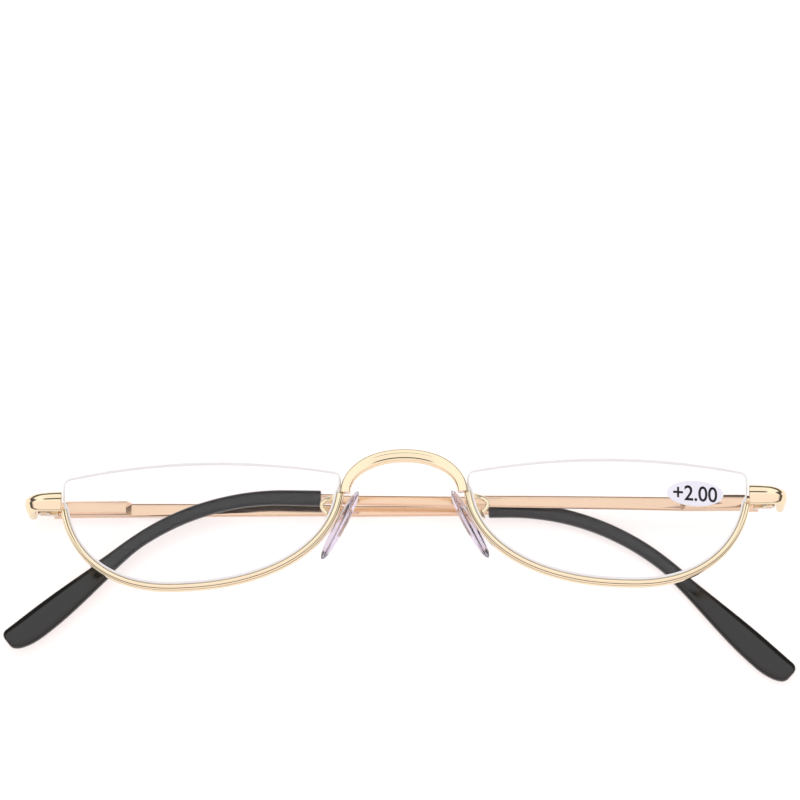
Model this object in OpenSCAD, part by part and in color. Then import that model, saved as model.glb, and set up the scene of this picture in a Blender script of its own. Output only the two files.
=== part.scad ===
// Half-moon reading glasses with a wire frame, folded and lying on the lower arm.
// The lens bottoms point to -Y, the lens fronts face +Z and the arms lie under the lenses.

/* [Frame] */
// Overall width over the two end pieces
frame_width = 138; // [130:1:146]
// Height of the end pieces
endpiece_height = 3.5; // [3:0.1:3.8]
// Thickness of the end piece bar
endpiece_thick = 1.9; // [1.7:0.05:2]
// Inner radius of the end piece bend
endpiece_bend = 1.4; // [0.8:0.1:1.8]
// Lean of the whole front where the upper arm lifts one side
front_lean = 2; // [1.7:0.1:2.6]

/* [Lenses] */
// Distance from the middle of the nose to the middle of a lens
lens_middle = 36.4; // [36:0.1:37]
// Reach of a lens towards the temple
lens_out = 25.6; // [24.8:0.1:26]
// Reach of a lens towards the nose
lens_in = 24.9; // [24.2:0.1:25.2]
// Highest point of the lens above the hinge line
lens_top = 5.8; // [5:0.1:6.6]
// Lowest point of the lens below the hinge line
lens_bottom = 17.2; // [15:0.2:20]
// How far outward of the middle the lowest point lies
lens_droop = 4.2; // [2:0.2:6]
// Squareness of the lower outline, 2 is an ellipse
lens_square = 2.2; // [2:0.05:2.5]
// Radius of the top edge seen from the front
lens_top_radius = 184; // [150:2:240]
// Radius of the two upper corners
lens_corner = 1.5; // [1:0.1:2]
// Thickness of a lens at its middle
lens_thick = 2.2; // [2.1:0.05:2.5]
// Radius of the front surface
lens_front_radius = 110; // [100:2:130]
// Radius of the back surface
lens_back_radius = 164; // [150:2:180]
// Backward turn of each lens towards its temple
lens_wrap = 3; // [1:0.5:4]
// Thickness of the ridge round the lens edge
ridge_thick = 0.7; // [0.5:0.05:0.8]
// Height of the ridge round the lens edge
ridge_height = 0.45; // [0.35:0.05:0.5]

/* [Rims and bridge] */
// Width of the rim wire seen from the front
rim_width = 1.15; // [1.1:0.05:1.5]
// Depth of the rim wire from front to back
rim_depth = 1.65; // [1.6:0.05:2]
// Depth of the line pressed into the rim's front
rim_line = 0.16; // [0.05:0.01:0.25]
// Rise of the bridge above its feet
bridge_rise = 6.6; // [5.5:0.1:7]
// Height above the hinge line at which the rim meets the bridge
bridge_foot = 0.2; // [0:0.1:1]
// Height of the bridge wire at its middle
bridge_height = 2.4; // [2:0.1:3]
// Width of the bridge wire at its feet
foot_width = 1.9; // [1.2:0.1:2.2]
// Squareness of the bridge's arch, 2 is an ellipse
bridge_square = 2.1; // [1.8:0.05:2.4]
// Depth of the bridge from front to back
bridge_depth = 2; // [1.8:0.1:2.4]
// How far the middle of the bridge stands forward of its feet
bridge_forward = 0.9; // [0:0.1:1.5]
// Depth of the flute between the two ridges of the bridge
bridge_flute = 0.34; // [0.1:0.02:0.5]

/* [Arms] */
// Distance from hinge pin to the start of the plastic tip
arm_length = 81.5; // [76:0.5:86]
// Height of the arm behind the hinge
arm_height = 2.5; // [2.3:0.05:2.8]
// Height of the arm where it enters the tip
arm_height_end = 1.7; // [1.4:0.05:2]
// Thickness of the arm
arm_thick = 1.1; // [0.9:0.05:1.2]
// Upward slope of the lower arm past its spring box
lower_arm_rise = 0; // [0:0.1:0.4]
// Upward slope of the upper arm past its spring box
upper_arm_rise = 1.2; // [0.8:0.1:1.6]
// Lean of the upper arm, folded, over the lower one
upper_arm_lean = 1.5; // [1.3:0.05:1.6]
// Radius of the bend over the ear
ear_radius = 44; // [38:1:50]
// Angle of the lower arm's bend over the ear
ear_angle = 43; // [36:1:46]
// Angle of the upper arm's bend over the ear
upper_ear_angle = 40; // [36:1:44]
// Straight run from hinge pin to the bend of the lower arm
ear_start = 84.5; // [83:0.5:88]
// Straight run from hinge pin to the bend of the upper arm
upper_ear_start = 88; // [85:0.5:90]
// Length of an arm along its middle, from hinge pin to end
arm_full = 145.7; // [142:0.1:149]
// Width of the tip at its start
tip_width = 2.8; // [2.6:0.1:3.2]
// Share of its width that the tip loses in the bend
tip_waist = 0.12; // [0:0.02:0.16]
// Widest part of the tip
tip_paddle = 5.2; // [4.6:0.1:6]
// Thickness of the tip
tip_thick = 2.4; // [2.1:0.05:2.5]
// Width of the slope along the tip's lower edge
tip_slope = 0.8; // [0.5:0.05:1]

/* [Hinges] */
// Distance from the outer face of the frame to the hinge pin
pin_inset = 3.2; // [3.1:0.05:3.4]
// Distance from the middle of the end piece bar back to the hinge pin
pin_back = 4.2; // [4:0.1:4.8]
// Radius of the hinge screw
pin_radius = 0.45; // [0.4:0.01:0.5]
// Radius of the hinge knuckles
knuckle_radius = 1.1; // [1:0.02:1.12]
// Height of the middle knuckle
knuckle_height = 0.9; // [0.7:0.05:1]
// Distance the butt joint lies behind the hinge pin
butt_back = 1.7; // [1.5:0.05:2]
// Length of the spring box
box_length = 13.5; // [12.5:0.1:16]
// Thickness of the spring box on top of the arm
box_thick = 1.6; // [1.5:0.05:1.8]
// Travel of the spring slide
flex_travel = 1.2; // [0.8:0.1:1.3]

/* [Nose pads] */
// Length of a pad
pad_length = 14.2; // [12:0.2:15]
// Width of a pad
pad_width = 6.4; // [6:0.2:7.6]
// Thickness of a pad
pad_thick = 2.1; // [1.9:0.1:2.6]
// Distance from the middle of the nose to the middle of a pad
pad_out = 11.5; // [11.2:0.1:12.4]
// Distance of the pad's middle below the hinge line
pad_down = 3.7; // [3:0.1:5]
// Distance of the pad's middle behind the end piece bar
pad_back = 2.8; // [2.6:0.1:4.5]
// Slope of the pads seen from the front
pad_slope = 27; // [22:1:32]
// Opening of the pads towards the face
pad_splay = 14; // [8:1:20]
// Radius of the pad arm wire
pad_wire = 0.45; // [0.35:0.05:0.5]

/* [Sticker] */
// Width of the oval sticker on the lens
sticker_width = 10.3; // [8:0.1:12]
// Height of the oval sticker
sticker_height = 4.8; // [4:0.1:6]

/* [Hidden] */

$fn = 48;

// Clearances
seat_gap = 0.02;
slide_gap = 0.05;
running_gap = 0.03;
groove_gap = 0.05;
tip_gap = 0.06;

// Hinge and frame places, seen from the front with x outward
pin_out = frame_width / 2 - pin_inset;
bend_out = endpiece_thick + endpiece_bend;
bend_x = frame_width / 2 - bend_out;
bend_z = -endpiece_thick / 2 - endpiece_bend;
arm_outer = -pin_inset;
arm_inner = arm_outer + arm_thick;
slide_z = arm_inner + slide_gap;
fork_reach = arm_height / 2 - 0.05;

// Lens outline: two corner arcs, a long top arc and a superellipse below
outline_mid = (lens_out - lens_in) / 2;
lens_half = (lens_out + lens_in) / 2;
corner_x = lens_half - lens_corner;
top_centre = lens_top - lens_top_radius;
corner_y = top_centre + sqrt(pow(lens_top_radius - lens_corner, 2) - pow(corner_x, 2));
corner_turn = atan2(corner_y - top_centre, corner_x);
lens_y = (lens_top - lens_bottom) / 2;

function power(v, p) = v <= 0 ? 0 : pow(v, p);
function lower_outline(a) = [
    lens_droop + (a < 90 ? lens_out - lens_droop : -lens_in - lens_droop)
        * power(abs(cos(a)), 2 / lens_square),
    corner_y - (corner_y + lens_bottom) * power(sin(a), 2 / lens_square)
];
function corner_arc(side, a) = [
    outline_mid + side * (corner_x + lens_corner * cos(a)),
    corner_y + lens_corner * sin(a)
];
function top_arc(a) = [
    outline_mid + lens_top_radius * cos(a),
    top_centre + lens_top_radius * sin(a)
];
// The outline runs from the outer shoulder down, round and over the top
outline = concat(
    [for (i = [0:59]) lower_outline(i * 3)],
    [for (i = [0:5]) corner_arc(-1, i * corner_turn / 6)],
    [for (i = [0:17]) top_arc(180 - corner_turn - i * (180 - 2 * corner_turn) / 18)],
    [for (i = [0:5]) corner_arc(1, corner_turn - i * corner_turn / 6)]
);
function unit(v) = v / norm(v);
function outward(before, after) = let (d = unit(after - before)) [-d.y, d.x];
function grown(loop, by) = let (n = len(loop)) [
    for (i = [0:n - 1]) loop[i] + by / 2 * outward(loop[i], loop[(i + 1) % n])
        + by / 2 * outward(loop[(i + n - 1) % n], loop[i])
];

// The ridge and the rim lie on a sphere between the two lens surfaces
ridge_radius = 2 / (1 / lens_front_radius + 1 / lens_back_radius);
function ridge_z(p) = sqrt(pow(ridge_radius, 2) - pow(p.x, 2) - pow(p.y - lens_y, 2)) - ridge_radius;
rim_outer_angle = asin(power((corner_y + endpiece_height / 2 + seat_gap)
    / (corner_y + lens_bottom), lens_square / 2));
rim_inner_angle = 180 - asin(power((corner_y - bridge_foot + seat_gap)
    / (corner_y + lens_bottom), lens_square / 2));
rim_end = lower_outline(rim_outer_angle);
rim_start = lower_outline(rim_inner_angle);
lens_forward = -ridge_z(rim_end) * cos(lens_wrap) + rim_end.x * sin(lens_wrap);
rim_inner = groove_gap - ridge_height;
rim_middle = rim_inner + rim_width / 2;
foot_z = lens_forward + ridge_z(rim_start) * cos(lens_wrap) - rim_start.x * sin(lens_wrap);

// The whole front leans, and the lower arm lies flat on the table
front_up = pin_inset + pin_out * sin(front_lean) + pin_back * cos(front_lean);
lower_x = -pin_out * cos(front_lean) + pin_back * sin(front_lean);
upper_x = pin_out * cos(front_lean) + pin_back * sin(front_lean);
upper_z = front_up + pin_out * sin(front_lean) - pin_back * cos(front_lean);
lower_bend = [lower_arm_rise, ear_start, ear_angle];
upper_bend = [upper_arm_rise, upper_ear_start, upper_ear_angle];
bridge_top = bridge_foot + bridge_rise + bridge_height / 2;
ear_length = ear_radius * ear_angle * PI / 180;
ear_drop = arm_full - ear_start - ear_length;
tip_low = -ear_radius * (1 - cos(ear_angle)) - ear_drop * sin(ear_angle);
middle_y = -(bridge_top + tip_low - tip_paddle * 0.17) / 2;
middle_x = -(lower_x + arm_route(arm_full, lower_bend).x + upper_x
    - arm_route(arm_full, upper_bend).x * cos(upper_arm_lean)) / 2;

// Skin over a list of rings, each end closed by a fan from its middle
function flat(rings) = [for (ring = rings) for (p = ring) p];
function middle(ring) = [for (k = [0:2]) [for (p = ring) p[k]] * [for (p = ring) 1 / len(ring)]];
module skin(rings) {
    n = len(rings[0]);
    m = len(rings);
    sides = [for (i = [0:m - 2]) for (j = [0:n - 1]) for (half = [0, 1])
        let (a = i * n + j, b = i * n + (j + 1) % n)
        half == 0 ? [a, b, b + n] : [a, b + n, a + n]];
    first = [for (j = [0:n - 1]) [m * n, (j + 1) % n, j]];
    last = [for (j = [0:n - 1]) let (a = (m - 1) * n) [m * n + 1, a + j, a + (j + 1) % n]];
    polyhedron(
        points = concat(flat(rings), [middle(rings[0]), middle(rings[m - 1])]),
        faces = concat(sides, first, last), convexity = 10);
}

// Rectangle with round corners, centred
module round_rect(w, h, r) {
    square([w - 2 * r, h], center = true);
    square([w, h - 2 * r], center = true);
    for (x = [-1, 1]) {
        for (y = [-1, 1]) {
            translate([x * (w / 2 - r), y * (h / 2 - r)]) circle(r, $fn = 24);
        }
    }
}

// Places: the front, one lens, one hinge pin and one nose pad
module on_front() {
    translate([middle_x, middle_y, front_up]) rotate([0, -front_lean, 0]) children();
}
module on_side(left) {
    on_front() mirror([left ? 1 : 0, 0, 0]) children();
}
module at_lens(left) {
    on_side(left) translate([lens_middle, 0, lens_forward]) rotate([0, lens_wrap, 0]) children();
}
module at_front_pin(left) {
    on_side(left) translate([pin_out, 0, -pin_back]) children();
}
module at_pad(left) {
    on_side(left)
        translate([pad_out, -pad_down, -pad_back])
        rotate([0, 0, pad_slope])
        rotate([0, -pad_splay, 0])
        translate([pad_seat, 0, 0])
        mirror([1, 0, 0])
        children();
}
// An arm lies along +X from its hinge pin with its outer face down
module at_arm(left) {
    if (left) {
        translate([middle_x + lower_x, middle_y, pin_inset]) children();
    } else {
        translate([middle_x + upper_x, middle_y, upper_z])
            mirror([1, 0, 0]) rotate([0, upper_arm_lean, 0]) children();
    }
}

// Lens: a meniscus with a ridge that sits in the rim
module lens() {
    color([0.86, 0.93, 0.97, 0.35]) {
        intersection() {
            translate([0, 0, -8]) linear_extrude(12) polygon(grown(outline, -ridge_height));
            translate([0, lens_y, lens_thick / 2 - lens_front_radius])
                sphere(lens_front_radius, $fn = 240);
            difference() {
                translate([-40, -40, -9]) cube([80, 80, 14]);
                translate([0, lens_y, -lens_thick / 2 - lens_back_radius])
                    sphere(lens_back_radius, $fn = 240);
            }
        }
        intersection() {
            translate([0, 0, -8]) linear_extrude(12) polygon(outline);
            translate([0, lens_y, -ridge_radius]) difference() {
                sphere(ridge_radius + ridge_thick / 2, $fn = 240);
                sphere(ridge_radius - ridge_thick / 2, $fn = 240);
            }
        }
    }
}

// Rim: a grooved wire along the lower outline, open at the top
rim_face = rim_depth / 2;
rim_outer = rim_inner + rim_width;
rim_section = [
    [rim_inner, -rim_face + 0.2], [rim_inner + 0.2, -rim_face],
    [rim_outer - 0.25, -rim_face], [rim_outer, -rim_face + 0.35],
    [rim_outer, rim_face - 0.35], [rim_outer - 0.22, rim_face - 0.03],
    [rim_middle + 0.16, rim_face], [rim_middle, rim_face - rim_line],
    [rim_middle - 0.16, rim_face], [rim_inner + 0.2, rim_face], [rim_inner, rim_face - 0.2]
];
groove_section = [
    [rim_inner - 0.3, -ridge_thick / 2 - 0.2], [groove_gap, -ridge_thick / 2 - groove_gap],
    [groove_gap, ridge_thick / 2 + groove_gap], [rim_inner - 0.3, ridge_thick / 2 + 0.2]
];
rim_steps = 56;
function rim_ring(a, section) =
    let (p = lower_outline(a), out = outward(lower_outline(a - 0.5), lower_outline(a + 0.5)))
    [for (q = section) let (at = p + q.x * out) [at.x, at.y, ridge_z(at) + q.y]];
module rim() {
    turn = rim_outer_angle - rim_inner_angle;
    color([0.93, 0.76, 0.45]) difference() {
        skin([for (i = [0:rim_steps]) rim_ring(rim_inner_angle + turn * i / rim_steps, rim_section)]);
        skin([for (i = [-1:rim_steps + 1])
            rim_ring(rim_inner_angle + turn * i / rim_steps, groove_section)]);
    }
}

// Bridge: one wire from rim to rim over the nose, fluted at its middle
edge_x = lens_middle + rim_start.x * cos(lens_wrap) + ridge_z(rim_start) * sin(lens_wrap);
bridge_half = edge_x - groove_gap - foot_width / 2;
function bridge_point(a) = [
    -bridge_half * sign(cos(a)) * power(abs(cos(a)), 2 / bridge_square),
    bridge_foot + seat_gap + bridge_rise * power(sin(a), 2 / bridge_square)
];
function bridge_ring(a) =
    let (
        p = bridge_point(a),
        up = outward(bridge_point(max(a - 1, 0)), bridge_point(min(a + 1, 180))),
        mid = 1 - pow(p.x / bridge_half, 2),
        h = foot_width / 2 + (bridge_height - foot_width) / 2 * min(1, mid * 1.5),
        d = rim_depth / 2 + (bridge_depth - rim_depth) / 2 * mid,
        g = bridge_flute * max(0, min(1, mid * 1.8 - 0.7)),
        z = foot_z + bridge_forward * mid,
        face = [
            [-1, 0], [-0.93, 0.5], [-0.72, 0.86], [-0.46, 1], [-0.3, 1 - g], [0.24, 1 - g],
            [0.42, 1], [0.78, 0.86], [0.97, 0.4], [1, -0.1], [0.86, -0.7], [0.5, -1],
            [-0.5, -1], [-0.88, -0.65]
        ]
    )
    [for (q = face) [p.x + up.x * q.x * h, p.y + up.y * q.x * h, z + q.y * d]];
module bridge() {
    color([0.93, 0.76, 0.45]) skin([for (i = [0:40]) bridge_ring(i * 4.5)]);
}

// End piece: a bar bent back round the corner of the frame
module endpiece() {
    start_x = lens_middle + lens_out + 0.1;
    leg_end = -pin_back - butt_back + seat_gap * 2;
    edge = 0.8;
    color([0.93, 0.76, 0.45]) rotate([90, 0, 0]) {
        translate([start_x, 0, 0]) rotate([90, 0, 90])
            linear_extrude(bend_x - start_x) round_rect(endpiece_thick, endpiece_height, edge);
        translate([bend_x, bend_z, 0])
            rotate_extrude(angle = 90)
            translate([endpiece_bend + endpiece_thick / 2, 0])
            round_rect(endpiece_thick, endpiece_height, edge);
        translate([bend_x + endpiece_bend + endpiece_thick / 2, bend_z, 0]) rotate([90, 0, 0])
            linear_extrude(bend_z - leg_end) round_rect(endpiece_thick, endpiece_height, edge);
    }
}

// Middle knuckle, fixed to the inner face of the end piece leg
module front_hinge() {
    leg_face = pin_inset - endpiece_thick - seat_gap;
    color([0.85, 0.68, 0.4]) rotate([90, 0, 0]) difference() {
        union() {
            cylinder(h = knuckle_height, r = knuckle_radius, center = true);
            translate([leg_face / 2, 0, 0])
                cube([leg_face, 1.8, knuckle_height], center = true);
        }
        cylinder(h = knuckle_height * 2, r = pin_radius + running_gap, center = true);
    }
}

// Slide: the fork, a guided stem and the rod that carries the spring
shoulder = 0.85;
stem_length = 3.4;
stem_high = box_thick - 0.45 - 2 * slide_gap;
stem_wide = 1.4;
rod_radius = 0.3;
rod_z = arm_inner + slide_gap + stem_high / 2;
wall_thick = 0.6;
wall_x = butt_back + slide_gap + shoulder + stem_length + 0.7;
spring_turns = 5;
spring_radius = 0.42;
spring_wire = 0.09;
spring_start = wall_x + wall_thick + flex_travel + 0.06;
spring_length = 3.9;
rod_head = spring_start + spring_length + 0.1;
module hinge_slide() {
    step_x = butt_back + slide_gap;
    fork_gap = knuckle_height / 2 + slide_gap;
    color([0.8, 0.8, 0.8]) {
        difference() {
            union() {
                rotate([90, 0, 0])
                    cylinder(h = 2 * fork_reach, r = knuckle_radius, center = true);
                translate([0, -fork_reach, -knuckle_radius])
                    cube([step_x + shoulder, 2 * fork_reach, knuckle_radius - 0.15]);
                translate([step_x, -fork_reach, slide_z])
                    cube([shoulder, 2 * fork_reach, -0.15 - slide_z]);
                translate([step_x + shoulder - 0.1, -stem_wide / 2, slide_z])
                    cube([stem_length + 0.1, stem_wide, stem_high]);
                translate([step_x + shoulder + stem_length - 0.1, 0, rod_z]) rotate([0, 90, 0])
                    cylinder(h = rod_head - step_x - shoulder - stem_length + 0.2, r = rod_radius);
                translate([rod_head, 0, rod_z]) rotate([0, 90, 0]) cylinder(h = 0.5, r = 0.48);
            }
            translate([-2, -fork_gap, -2])
                cube([2 + step_x + 0.02, 2 * fork_gap, 4]);
            rotate([90, 0, 0]) cylinder(h = 4, r = pin_radius + 0.012, center = true);
        }
    }
}

// Spring round the rod, shown pressed up to the rod's head
module hinge_spring() {
    around = 10;
    color([0.7, 0.7, 0.72]) translate([0, 0, rod_z]) skin([
        for (i = [0:spring_turns * around]) let (
            a = i * 360 / around,
            x = spring_start + spring_wire + i * (spring_length - 2 * spring_wire)
                / (spring_turns * around)
        ) [for (j = [0:5]) let (r = spring_radius + spring_wire * cos(j * 60))
            [x + spring_wire * sin(j * 60), r * cos(a), r * sin(a)]]
    ]);
}

// Screw with a slotted head, through all the knuckles
module hinge_screw() {
    color([0.85, 0.68, 0.4]) rotate([-90, 0, 0]) difference() {
        union() {
            translate([0, 0, -fork_reach]) cylinder(h = 2 * fork_reach + 0.1, r = pin_radius);
            translate([0, 0, fork_reach + seat_gap]) cylinder(h = 0.4, r = 0.8);
        }
        translate([-1, -0.1, fork_reach + 0.22]) cube([2, 0.2, 0.4]);
    }
}

// Spring box, hollow along its length, with a faceted end
module spring_box() {
    front_x = butt_back + shoulder + 2 * slide_gap;
    end_x = front_x + box_length;
    low_z = arm_inner + seat_gap;
    inside = stem_high + 2 * slide_gap;
    half = arm_height / 2;
    color([0.93, 0.76, 0.45]) difference() {
        translate([front_x, 0, low_z]) rotate([90, 0, 90]) linear_extrude(box_length) polygon([
            [-half, 0], [half, 0], [half, box_thick - 0.35], [half - 0.35, box_thick],
            [-half + 0.35, box_thick], [-half, box_thick - 0.35]
        ]);
        translate([front_x - 1, -stem_wide / 2 - slide_gap, low_z - 1])
            cube([wall_x - front_x + 1, stem_wide + 2 * slide_gap, inside + 1]);
        translate([wall_x + wall_thick, -stem_wide / 2 - slide_gap, low_z - 1])
            cube([rod_head + 1.2 - wall_x - wall_thick, stem_wide + 2 * slide_gap, inside + 1]);
        translate([wall_x - 1, 0, rod_z]) rotate([0, 90, 0])
            cylinder(h = wall_thick + 2, r = rod_radius + running_gap * 2);
        translate([end_x, -arm_height, low_z]) rotate([0, -30, 0])
            cube([6, 2 * arm_height, 6]);
        for (s = [-1, 1]) {
            translate([end_x, s * half, low_z + 0.3]) rotate([0, -20, s * 40])
                translate([-0.2, s > 0 ? 0 : -4, 0]) cube([5, 4, 5]);
        }
    }
}

// The arm's route: straight, slightly raised, round the ear, then straight
tip_z = arm_outer + tip_thick / 2;
function ear_turn(s, bend) = s <= bend[1] ? 0 : min(bend[2], (s - bend[1]) / ear_radius * 180 / PI);
function arm_route(s, bend) =
    let (
        a = ear_turn(s, bend),
        r = ear_radius,
        past = max(0, s - bend[1] - r * bend[2] * PI / 180),
        x = min(s, bend[1]) + r * sin(a) + past * cos(bend[2]),
        y = -r * (1 - cos(a)) - past * sin(bend[2]),
        box_end = butt_back + box_length,
        up = s <= box_end ? 0 : bend[0]
    )
    [
        box_end + (x - box_end) * cos(up) - y * sin(up),
        (x - box_end) * sin(up) + y * cos(up)
    ];
function arm_heading(s, bend) = (s <= butt_back + box_length ? 0 : bend[0]) - ear_turn(s, bend);
function arm_ring(s, bend, z, section) =
    let (p = arm_route(s, bend), h = arm_heading(s, bend))
    [for (q = section) [p.x - q.x * sin(h), p.y + q.x * cos(h), z - q.y]];

// Arm blade, tapered from the spring box, with its core inside the tip
function bar_section(high, thick, edge) = [
    for (c = [[1, 1], [-1, 1], [-1, -1], [1, -1]]) for (k = [0, 1])
        let (flip = c.x * c.y > 0 ? k : 1 - k)
        [c.x * (high / 2 - (flip == 1 ? edge : 0)), c.y * (thick / 2 - (flip == 1 ? 0 : edge))]
];
core_high = 1;
core_thick = 0.8;
core_end = arm_full - 12;
module arm(bend) {
    blade_z = arm_outer + arm_thick / 2;
    blade_end = arm_length + 0.3;
    blade = [for (s = [butt_back, butt_back + box_length, 30, 45, 60, blade_end])
        let (
            t = max(0, (s - butt_back - box_length) / (arm_length - butt_back - box_length)),
            high = arm_height + (arm_height_end - arm_height) * t,
            z = blade_z + (tip_z - blade_z) * t
        )
        arm_ring(s, bend, z, bar_section(high, arm_thick, 0.3))];
    core = [for (i = [0:16]) let (s = blade_end + 0.02 + (core_end - blade_end) * i / 16)
        arm_ring(s, bend, tip_z, bar_section(core_high, core_thick, 0.2))];
    color([0.93, 0.76, 0.45]) skin(concat(blade, core));
}

// Plastic tip: a sleeve with sloped edges that widens to a paddle cut off at a slant
function ease(t) = t <= 0 ? 0 : t >= 1 ? 1 : t * t * (3 - 2 * t);
function closing(left, over, least) =
    least + (1 - least) * sqrt(1 - pow(1 - max(0, min(1, left / over)), 2));
function tip_section(s) =
    let (
        t = ease((s - arm_full + 31) / 24),
        w = tip_width / 2 * (1 - tip_waist * ease((s - arm_length) / 20)),
        left = arm_full - s,
        above = (w + (tip_paddle * 0.4 - w) * t) * closing(left, 1.2, 0.5),
        below = (w + (tip_paddle * 0.6 - w) * t) * closing(left, 6, 0.25),
        half = tip_thick / 2 * closing(left, 1.6, 0.6),
        slope = tip_slope * min(1, below / w),
        top = above - 0.25,
        ridge = slope - below
    )
    [
        [above, 0.6 * half], [top, half], [ridge, half], [ridge - slope * 0.6, 0.75 * half],
        [-below, 0.3 * half], [-below, -0.3 * half], [ridge - slope * 0.6, -0.75 * half],
        [ridge, -half], [top, -half], [above, -0.6 * half]
    ];
module tip(bend) {
    along = concat(
        [for (i = [0:26]) arm_length + (arm_full - arm_length - 6) * i / 26],
        [for (d = [5, 4, 3, 2.2, 1.5, 1, 0.6, 0.3, 0.1, 0]) arm_full - d]
    );
    bore = core_high + 2 * tip_gap;
    color([0.07, 0.07, 0.08]) difference() {
        skin([for (s = along) arm_ring(s, bend, tip_z, tip_section(s))]);
        skin([for (s = [arm_length - 1, arm_length + 0.36])
            arm_ring(s, bend, tip_z, bar_section(arm_height_end + 2 * tip_gap,
                arm_thick + 2 * tip_gap, 0.2))]);
        skin([for (i = [0:16]) let (s = arm_length + 0.3 + (core_end + 0.3 - arm_length) * i / 16)
            arm_ring(s, bend, tip_z, bar_section(bore, core_thick + 2 * tip_gap, 0.2))]);
    }
}

// Nose pad: seen from its screw, x points to the nose and y up
pad_seat = 1.95;
pad_middle = 0.9 + pad_thick / 2;
function pad_ring(t) = let (r = pow(sin(t), 0.8), x = -cos(t)) [
    for (j = [0:23]) let (
        a = j * 15,
        y = pad_length / 2 * sin(a) * r - 0.6,
        narrow = 1 + 0.12 * sin(a)
    ) [pad_middle + pad_thick / 2 * x, y, pad_width / 2 * cos(a) * r * (2 - narrow)]
];
plate_at = 1.3;
plate_thick = 0.5;
plate_long = 5.2;
plate_wide = 2.4;
tongue_reach = 0.4;
tongue_long = 1.7;
tongue_thick = 0.84;
module pad_plate(gap) {
    translate([plate_at - gap, -plate_long / 2 - gap, -plate_wide / 2 - gap])
        cube([plate_thick + 2 * gap, plate_long + 2 * gap, plate_wide + 2 * gap]);
    translate([-tongue_reach, -tongue_long / 2 - gap, -tongue_thick / 2 - gap])
        cube([tongue_reach + plate_at + 0.1, tongue_long + 2 * gap, tongue_thick + 2 * gap]);
}
module nose_pad() {
    color([0.9, 0.92, 0.96, 0.6]) difference() {
        skin([for (i = [0:10]) pad_ring(6 + i * 16.8)]);
        pad_plate(seat_gap);
    }
}
module pad_insert() {
    color([0.75, 0.75, 0.8]) difference() {
        pad_plate(0);
        cylinder(h = 2 * clip_wide, r = pad_screw_radius + running_gap, center = true);
    }
}
clip_back = 1.1;
clip_long = 1.6;
clip_high = 2.4;
clip_wide = 2;
clip_floor = 0.45;
pad_screw_radius = 0.3;
pad_head_radius = 0.55;
pad_head_high = 0.25;
pad_slot = 0.14;
module pad_box() {
    color([0.93, 0.76, 0.45]) difference() {
        translate([-clip_back, -clip_high / 2, -clip_wide / 2])
            cube([clip_long, clip_high, clip_wide]);
        translate([clip_floor - clip_back, -clip_high, -tongue_thick / 2 - slide_gap])
            cube([2 * clip_long, 2 * clip_high, tongue_thick + 2 * slide_gap]);
        cylinder(h = 2 * clip_wide, r = pad_screw_radius + seat_gap, center = true);
    }
}
module pad_screw() {
    head_z = clip_wide / 2 + seat_gap;
    color([0.85, 0.68, 0.4]) difference() {
        union() {
            translate([0, 0, seat_gap - clip_wide / 2])
                cylinder(h = clip_wide + pad_head_high / 2, r = pad_screw_radius);
            translate([0, 0, head_z]) cylinder(h = pad_head_high, r = pad_head_radius);
        }
        translate([-pad_head_radius - 0.1, -pad_slot / 2, head_z + pad_head_high / 2])
            cube([2 * pad_head_radius + 0.2, pad_slot, pad_head_high]);
    }
}

// Pad arm: a wire from the rim's back, round in a bow to the pad box
pad_face = [-cos(pad_splay) * cos(pad_slope), -cos(pad_splay) * sin(pad_slope), -sin(pad_splay)];
box_back = [pad_out, -pad_down, -pad_back] - (pad_seat + clip_back + 3 * seat_gap) * pad_face;
wire_foot = [edge_x - rim_middle + 0.12, 0.1, foot_z - rim_depth / 2 - 0.5];
function bow(t) =
    let (
        a = wire_foot,
        b = wire_foot + [0.6, 0.3, -3.4],
        c = box_back - 2.6 * pad_face + [0, 0.9, 0],
        d = box_back,
        u = 1 - t
    )
    u * u * u * a + 3 * u * u * t * b + 3 * u * t * t * c + t * t * t * d;
function wire_ring(t) =
    let (
        p = bow(t),
        dir = unit(bow(min(1, t + 0.01)) - bow(max(0, t - 0.01))),
        side = unit(cross(dir, [0.2, 1, 0.1])),
        up = cross(side, dir)
    )
    [for (j = [0:7]) p + pad_wire * (cos(j * 45) * side + sin(j * 45) * up)];
module pad_arm() {
    color([0.93, 0.76, 0.45]) {
        skin([for (i = [0:16]) wire_ring(i / 16)]);
        translate(wire_foot + [0, 0, -0.1]) cylinder(h = 0.5, r = 0.6);
    }
}

// Sticker: a thin oval on the front of one lens
module power_sticker() {
    oval = [for (i = [0:47]) [
        sticker_width / 2 * cos(i * 7.5), sticker_height / 2 * sin(i * 7.5)
    ]];
    color("white") intersection() {
        translate([15.9, -0.6, -6]) linear_extrude(12) polygon(oval);
        translate([0, lens_y, lens_thick / 2 - lens_front_radius]) difference() {
            sphere(lens_front_radius + 0.13, $fn = 240);
            sphere(lens_front_radius + seat_gap, $fn = 240);
        }
    }
}

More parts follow.
